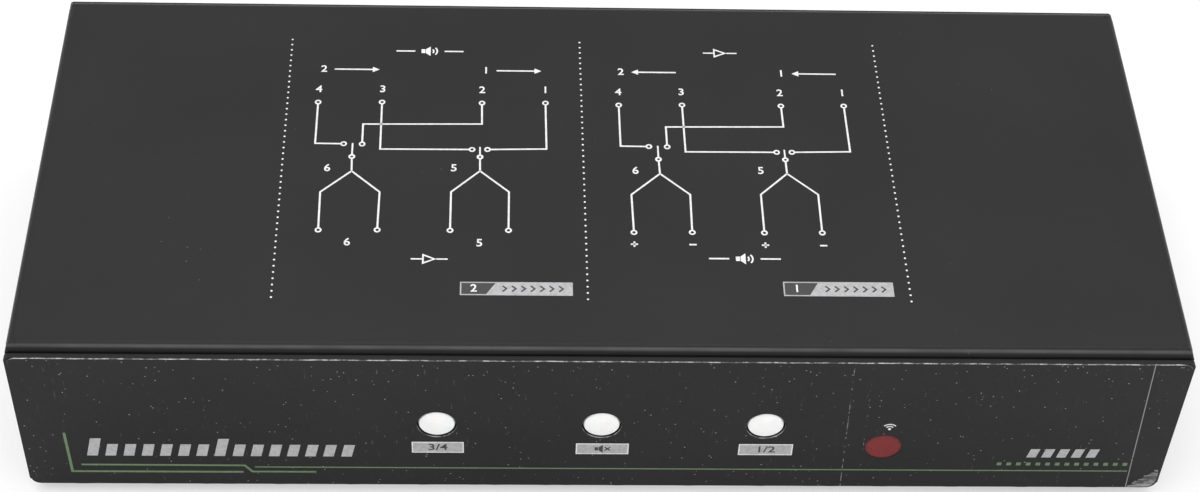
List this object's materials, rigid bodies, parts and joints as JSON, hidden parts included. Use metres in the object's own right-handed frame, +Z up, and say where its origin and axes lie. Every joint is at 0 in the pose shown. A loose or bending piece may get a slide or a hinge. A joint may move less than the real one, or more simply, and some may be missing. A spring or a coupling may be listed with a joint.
{
  "type": "speaker selector switch",
  "caption": "Flat black steel switch box with push buttons and an infrared window in front, and screw terminals for speaker wires behind.",
  "frame": {"origin": "middle of the footprint, on the surface that the feet stand on", "axes": "+X along the front to the right as the buttons are faced, +Y from the front to the terminals, +Z up"},
  "size_m": [0.2082, 0.1104, 0.039],
  "materials": {
    "black_steel": "fine satin black coating",
    "black_screw": "black",
    "zinc_steel": "zinc plated",
    "foot_rubber": "matt",
    "printed_film": "satin printed film",
    "red_window": "smoked red, clear",
    "green_board": "solder mask",
    "black_plastic": "moulded",
    "lamp_plastic": "clear resin",
    "dark_plastic": "moulded",
    "ivory_plastic": "moulded",
    "white_cable": "laminated",
    "can_metal": "bright can",
    "contact_metal": "tinned",
    "gold_metal": "gold plated",
    "red_plastic": "moulded",
    "white_cap": "translucent white",
    "plunger_plastic": "moulded"
  },
  "bodies": {
    "housing": {"chassis": "black_steel", "top_cover": "black_steel", "cover_screws": "black_screw", "clinch_nuts": "zinc_steel", "rubber_feet": "foot_rubber", "front_film": "printed_film", "infrared_window": "red_window", "front_board": "green_board", "board_spacers": "zinc_steel", "board_screws": "zinc_steel", "switch_bodies": "black_plastic", "status_lamps": "lamp_plastic", "infrared_receiver": "dark_plastic", "cable_connectors": "ivory_plastic", "flat_cable": "white_cable", "rear_board": "green_board", "relays": "dark_plastic", "capacitors": "can_metal", "controller_chip": "dark_plastic", "driver_chip": "dark_plastic", "voltage_regulator": "dark_plastic", "flyback_diodes": "dark_plastic", "power_socket": "black_plastic", "power_socket_nut": "zinc_steel", "power_contacts": "contact_metal", "post_studs": "gold_metal", "red_flanges": "red_plastic", "black_flanges": "black_plastic", "inner_washers": "black_plastic", "post_nuts": "zinc_steel"},
    "left_button": {"button_left": "white_cap", "plunger_left": "plunger_plastic"},
    "middle_button": {"button_middle": "white_cap", "plunger_middle": "plunger_plastic"},
    "right_button": {"button_right": "white_cap", "plunger_right": "plunger_plastic"},
    "ring_body_1_red": {"ring_1_red": "gold_metal"},
    "cap_body_1_red": {"cap_1_red": "red_plastic"},
    "ring_body_1_black": {"ring_1_black": "gold_metal"},
    "cap_body_1_black": {"cap_1_black": "black_plastic"},
    "ring_body_2_red": {"ring_2_red": "gold_metal"},
    "cap_body_2_red": {"cap_2_red": "red_plastic"},
    "ring_body_2_black": {"ring_2_black": "gold_metal"},
    "cap_body_2_black": {"cap_2_black": "black_plastic"},
    "ring_body_3_red": {"ring_3_red": "gold_metal"},
    "cap_body_3_red": {"cap_3_red": "red_plastic"},
    "ring_body_3_black": {"ring_3_black": "gold_metal"},
    "cap_body_3_black": {"cap_3_black": "black_plastic"},
    "ring_body_4_red": {"ring_4_red": "gold_metal"},
    "cap_body_4_red": {"cap_4_red": "red_plastic"},
    "ring_body_4_black": {"ring_4_black": "gold_metal"},
    "cap_body_4_black": {"cap_4_black": "black_plastic"},
    "ring_body_5_red": {"ring_5_red": "gold_metal"},
    "cap_body_5_red": {"cap_5_red": "red_plastic"},
    "ring_body_5_black": {"ring_5_black": "gold_metal"},
    "cap_body_5_black": {"cap_5_black": "black_plastic"},
    "ring_body_6_red": {"ring_6_red": "gold_metal"},
    "cap_body_6_red": {"cap_6_red": "red_plastic"},
    "ring_body_6_black": {"ring_6_black": "gold_metal"},
    "cap_body_6_black": {"cap_6_black": "black_plastic"}
  },
  "joints": [
    {"name": "press_left", "type": "slide", "parent": "housing", "child": "left_button", "axis": [0, 1, 0], "range_m": [0, 0.0003], "stiffness_N_per_m": 800, "springref_m": -0.0015},
    {"name": "press_middle", "type": "slide", "parent": "housing", "child": "middle_button", "axis": [0, 1, 0], "range_m": [0, 0.0003], "stiffness_N_per_m": 800, "springref_m": -0.0015},
    {"name": "press_right", "type": "slide", "parent": "housing", "child": "right_button", "axis": [0, 1, 0], "range_m": [0, 0.0003], "stiffness_N_per_m": 800, "springref_m": -0.0015},
    {"name": "open_1_red", "type": "slide", "parent": "housing", "child": "ring_body_1_red", "axis": [0, 1, 0], "range_m": [0, 0.004]},
    {"name": "turn_1_red", "type": "hinge", "parent": "ring_body_1_red", "child": "cap_body_1_red", "pos_m": [-0.08275, 0.04557, 0.0135], "axis": [0, 1, 0], "range_deg": [0, 1440]},
    {"name": "open_1_black", "type": "slide", "parent": "housing", "child": "ring_body_1_black", "axis": [0, 1, 0], "range_m": [0, 0.004]},
    {"name": "turn_1_black", "type": "hinge", "parent": "ring_body_1_black", "child": "cap_body_1_black", "pos_m": [-0.06825, 0.04557, 0.0135], "axis": [0, 1, 0], "range_deg": [0, 1440]},
    {"name": "open_2_red", "type": "slide", "parent": "housing", "child": "ring_body_2_red", "axis": [0, 1, 0], "range_m": [0, 0.004]},
    {"name": "turn_2_red", "type": "hinge", "parent": "ring_body_2_red", "child": "cap_body_2_red", "pos_m": [-0.05375, 0.04557, 0.0135], "axis": [0, 1, 0], "range_deg": [0, 1440]},
    {"name": "open_2_black", "type": "slide", "parent": "housing", "child": "ring_body_2_black", "axis": [0, 1, 0], "range_m": [0, 0.004]},
    {"name": "turn_2_black", "type": "hinge", "parent": "ring_body_2_black", "child": "cap_body_2_black", "pos_m": [-0.03925, 0.04557, 0.0135], "axis": [0, 1, 0], "range_deg": [0, 1440]},
    {"name": "open_3_red", "type": "slide", "parent": "housing", "child": "ring_body_3_red", "axis": [0, 1, 0], "range_m": [0, 0.004]},
    {"name": "turn_3_red", "type": "hinge", "parent": "ring_body_3_red", "child": "cap_body_3_red", "pos_m": [-0.02175, 0.04557, 0.0135], "axis": [0, 1, 0], "range_deg": [0, 1440]},
    {"name": "open_3_black", "type": "slide", "parent": "housing", "child": "ring_body_3_black", "axis": [0, 1, 0], "range_m": [0, 0.004]},
    {"name": "turn_3_black", "type": "hinge", "parent": "ring_body_3_black", "child": "cap_body_3_black", "pos_m": [-0.00725, 0.04557, 0.0135], "axis": [0, 1, 0], "range_deg": [0, 1440]},
    {"name": "open_4_red", "type": "slide", "parent": "housing", "child": "ring_body_4_red", "axis": [0, 1, 0], "range_m": [0, 0.004]},
    {"name": "turn_4_red", "type": "hinge", "parent": "ring_body_4_red", "child": "cap_body_4_red", "pos_m": [0.00725, 0.04557, 0.0135], "axis": [0, 1, 0], "range_deg": [0, 1440]},
    {"name": "open_4_black", "type": "slide", "parent": "housing", "child": "ring_body_4_black", "axis": [0, 1, 0], "range_m": [0, 0.004]},
    {"name": "turn_4_black", "type": "hinge", "parent": "ring_body_4_black", "child": "cap_body_4_black", "pos_m": [0.02175, 0.04557, 0.0135], "axis": [0, 1, 0], "range_deg": [0, 1440]},
    {"name": "open_5_red", "type": "slide", "parent": "housing", "child": "ring_body_5_red", "axis": [0, 1, 0], "range_m": [0, 0.004]},
    {"name": "turn_5_red", "type": "hinge", "parent": "ring_body_5_red", "child": "cap_body_5_red", "pos_m": [0.03925, 0.04557, 0.0135], "axis": [0, 1, 0], "range_deg": [0, 1440]},
    {"name": "open_5_black", "type": "slide", "parent": "housing", "child": "ring_body_5_black", "axis": [0, 1, 0], "range_m": [0, 0.004]},
    {"name": "turn_5_black", "type": "hinge", "parent": "ring_body_5_black", "child": "cap_body_5_black", "pos_m": [0.05375, 0.04557, 0.0135], "axis": [0, 1, 0], "range_deg": [0, 1440]},
    {"name": "open_6_red", "type": "slide", "parent": "housing", "child": "ring_body_6_red", "axis": [0, 1, 0], "range_m": [0, 0.004]},
    {"name": "turn_6_red", "type": "hinge", "parent": "ring_body_6_red", "child": "cap_body_6_red", "pos_m": [0.06825, 0.04557, 0.0135], "axis": [0, 1, 0], "range_deg": [0, 1440]},
    {"name": "open_6_black", "type": "slide", "parent": "housing", "child": "ring_body_6_black", "axis": [0, 1, 0], "range_m": [0, 0.004]},
    {"name": "turn_6_black", "type": "hinge", "parent": "ring_body_6_black", "child": "cap_body_6_black", "pos_m": [0.08275, 0.04557, 0.0135], "axis": [0, 1, 0], "range_deg": [0, 1440]}
  ],
  "couplings": [
    {"joint": "turn_1_red", "follows": "open_1_red", "rad_per_m": 6283.2},
    {"joint": "turn_1_black", "follows": "open_1_black", "rad_per_m": 6283.2},
    {"joint": "turn_2_red", "follows": "open_2_red", "rad_per_m": 6283.2},
    {"joint": "turn_2_black", "follows": "open_2_black", "rad_per_m": 6283.2},
    {"joint": "turn_3_red", "follows": "open_3_red", "rad_per_m": 6283.2},
    {"joint": "turn_3_black", "follows": "open_3_black", "rad_per_m": 6283.2},
    {"joint": "turn_4_red", "follows": "open_4_red", "rad_per_m": 6283.2},
    {"joint": "turn_4_black", "follows": "open_4_black", "rad_per_m": 6283.2},
    {"joint": "turn_5_red", "follows": "open_5_red", "rad_per_m": 6283.2},
    {"joint": "turn_5_black", "follows": "open_5_black", "rad_per_m": 6283.2},
    {"joint": "turn_6_red", "follows": "open_6_red", "rad_per_m": 6283.2},
    {"joint": "turn_6_black", "follows": "open_6_black", "rad_per_m": 6283.2}
  ]
}
